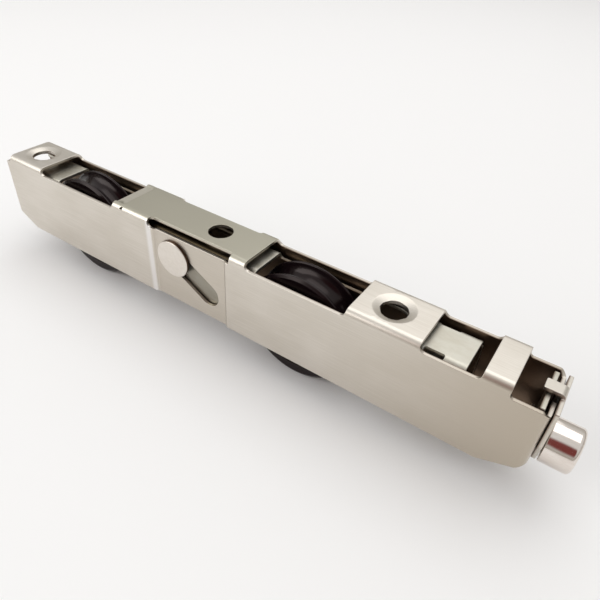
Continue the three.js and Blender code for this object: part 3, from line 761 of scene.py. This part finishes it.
def key_socket(point, angle):
    """Six flats on the rows inside the head's end, and round everywhere else."""
    if point.y > socket_corner + 0.4 or point.x < head_end - socket_depth - 0.05:
        return 1
    return cos(pi / 6) / cos((angle % (pi / 3)) - pi / 6)


def head_path():
    """The head, from the bottom of its socket out over the rim to its underside and shank."""
    floor = head_end - socket_depth
    return rounded([(floor, 0, 0), (floor, socket_corner, 0.05), (head_end - 0.3, socket_corner, 0.1),
                    (head_end, socket_corner + 0.35, 0.1), (head_end, screw_head, 1.3),
                    (head_start, screw_head, 0.35), (head_start, screw_radius, 0.1),
                    (shank_end, screw_radius, 0.1), (shank_end, 0, 0)], closed=False, steps=6)


def screw_shank(name):
    """Threaded shank: rounded ridges that climb one pitch in a turn, and a chamfered tip."""
    plain = screw_radius - 0.05
    groove_from, groove_to = clip_groove
    rows = [(tip, 0), (tip, screw_radius - 1.0)]
    rows += [(u, screw_radius) for u in spread(thread_from, thread_to, pitch / 8)]
    rows += [(thread_to + 0.3, plain), (groove_from, plain), (groove_from, clip_groove_radius),
             (groove_to, clip_groove_radius), (groove_to, plain), (shank_end, plain), (shank_end, 0)]
    path = [(Vector(row), Vector((0, 1))) for row in reversed(rows)]

    def ridge(point, angle):
        if not thread_from <= point.x <= thread_to:
            return 1
        phase = (point.x / pitch - angle / (2 * pi)) % 1
        chamfer = min(1, point.x - tip + 0.75)
        return chamfer * (1 - thread_depth / screw_radius * abs(2 * phase - 1))

    return turned(name, path, "x", 0, screw_z, 40, ridge, radians(60))


head = turned("screw_head", head_path(), "x", 0, screw_z, 96, key_socket, radians(28))
fit(head, "screw", "adjusting_screw", chrome)
fit(screw_shank("screw_thread"), "screw", "adjusting_screw", chrome)
fit(turned("screw_washer", band(4.2, 6.8, 205.8, 207.2), "x", 0, screw_z),
    "screw", "screw_thrust_washer", bearing_steel)
for node, material in (("nut_block", zinc), ("screw_retaining_clip", bearing_steel)):
    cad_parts[node].data.materials.clear()
    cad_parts[node].data.materials.append(material)


# ---- slide plates ---------------------------------------------------------------------------
# The screw sits between two punched plates that trap the housing's end flanges. The outer one
# has a tab folded back over the top of the flanges, and both go down with the screw.

inner_plate_face, outer_plate_face = 208.7, 212.1
tab_fold, tab_radius, tab_half = 26.3, 1.4, 1.95
tab_end = 206.3


def outer_plate(u, v, depth):
    beyond = v - tab_fold
    arc = tab_radius * pi / 2
    x, z = outer_plate_face - depth, v
    if 0 < beyond <= arc:
        angle = beyond / tab_radius
        reach = tab_radius - depth
        x, z = outer_plate_face - tab_radius + reach * cos(angle), tab_fold + reach * sin(angle)
    elif beyond > arc:
        x, z = outer_plate_face - tab_radius - (beyond - arc), tab_fold + tab_radius - depth
    return Vector((housing_start + x, u, housing_floor + z))


def inner_plate(u, v, depth):
    return Vector((housing_start + inner_plate_face - depth, u, housing_floor + v))


tab_top = tab_fold + tab_radius * pi / 2 + outer_plate_face - tab_radius - tab_end
foot, foot_half, shoulder, plate_half = 4.0, 4.6, 13.5, 8.1
inner_half, inner_top = 7.8, 26.0
outer_outline = [(-foot_half, foot, 4.0), (foot_half, foot, 4.0), (plate_half, shoulder, 5.0),
                 (plate_half, tab_fold, 0.5), (tab_half, tab_fold, 0.3), (tab_half, tab_top, 0.5),
                 (-tab_half, tab_top, 0.5), (-tab_half, tab_fold, 0.3),
                 (-plate_half, tab_fold, 0.5), (-plate_half, shoulder, 5.0)]
inner_outline = [(-inner_half, foot, 1.2), (inner_half, foot, 1.2), (inner_half, inner_top, 0.5),
                 (-inner_half, inner_top, 0.5)]
screw_hole = circle(0, screw_z, 4.2)
tab_fill = [(u, tab_fold + tab_radius * pi / 2 * k / 8) for k in range(9) for u in (-1, 0, 1)]
fit(folded_sheet("slide_plate_outer", [rounded(outer_outline, stride=0.5), screw_hole],
                 outer_plate, tab_fill),
    "screw_slider", "outer_slide_plate", stainless)
fit(folded_sheet("slide_plate_inner", [rounded(inner_outline), screw_hole], inner_plate, [], 1.4),
    "screw_slider", "inner_slide_plate", zinc)


# ---- studio ---------------------------------------------------------------------------------
# A plain pale floor under the wheels and three soft lights, one overhead, one behind and one at
# the left front. The surroundings mirrored in the metal get paler upwards, but for a dark red
# patch at the front that shows as a band on the screw head.

def floor_finish():
    material = bpy.data.materials.new("studio_floor")
    material.use_nodes = True
    shader = material.node_tree.nodes["Principled BSDF"]
    shader.inputs["Roughness"].default_value = 0.9
    shader.inputs["Specular IOR Level"].default_value = 0.1
    shade = Shade(material.node_tree)
    cloud = shade.noise(shade.place(), (0.002, 0.002, 0.002))
    colour = cloud.blend((0.93, 0.93, 0.925), (0.95, 0.95, 0.945))
    material.node_tree.links.new(colour.socket, shader.inputs["Base Color"])
    return material


floor_reach, floor_drop = 4000, 0.02
floor_corners = [(x * floor_reach, y * floor_reach, -floor_drop)
                 for x, y in ((-1, -1), (1, -1), (1, 1), (-1, 1))]
floor = finish_mesh("studio_floor", floor_corners, [(0, 1, 2, 3)])
floor.data.materials.append(floor_finish())


def soft_light(name, size, power, place):
    """A rectangular light that faces the middle of the roller."""
    light = bpy.data.lights.new(name, "AREA")
    light.shape = "RECTANGLE"
    light.size, light.size_y = size
    light.energy = power
    lamp = bpy.data.objects.new(name, light)
    lamp.location = place
    lamp.rotation_euler = (Vector((0, 0, 0.02)) - Vector(place)).to_track_quat("-Z", "Y").to_euler()
    bpy.context.scene.collection.objects.link(lamp)
    return lamp


soft_light("overhead_softbox", (0.9, 0.8), 2.5, (-0.05, 0.30, 0.95))
soft_light("back_softbox", (0.5, 0.5), 0.35, (-0.10, 0.72, 0.66))
soft_light("left_softbox", (0.9, 0.7), 4.2, (-0.70, -0.75, 0.62))

world = bpy.data.worlds.new("studio")
world.use_nodes = True
bpy.context.scene.world = world
sky = Shade(world.node_tree)
background = world.node_tree.nodes["Background"]
around = sky.node("ShaderNodeTexCoord", {}, {}, 0)
facing = sky.axes(around)
tone = facing[2].ramp(-0.1, 0.9).blend((0.44, 0.42, 0.38), (0.80, 0.80, 0.80))
towards = sky.node("ShaderNodeVectorMath", {"operation": "DOT_PRODUCT"},
                   {0: around, 1: (0.12, -0.80, 0.58)}, 1)
tone = towards.ramp(0.90, 0.97).blend(tone, (0.20, 0.05, 0.045))
camera_ray = sky.node("ShaderNodeLightPath", {}, {}, 0)
world.node_tree.links.new(camera_ray.blend(tone, (0.93, 0.93, 0.925)).socket,
                          background.inputs["Color"])
background.inputs["Strength"].default_value = 0.95

camera_data = bpy.data.cameras.new("product_camera")
camera_data.sensor_width = 36.0
camera_data.lens = 32.663
camera_data.clip_start = 0.01
camera = bpy.data.objects.new("product_camera", camera_data)
right, up = Vector((0.82986, 0.5547, 0.06033)), Vector((-0.3897, 0.49881, 0.77416))
turn = Matrix((right, up, right.cross(up))).transposed().to_4x4()
camera.matrix_world = Matrix.Translation((0.09178, -0.11519, 0.13603)) @ turn
bpy.context.scene.collection.objects.link(camera)
bpy.context.scene.camera = camera
bpy.context.scene.view_settings.view_transform = "Standard"
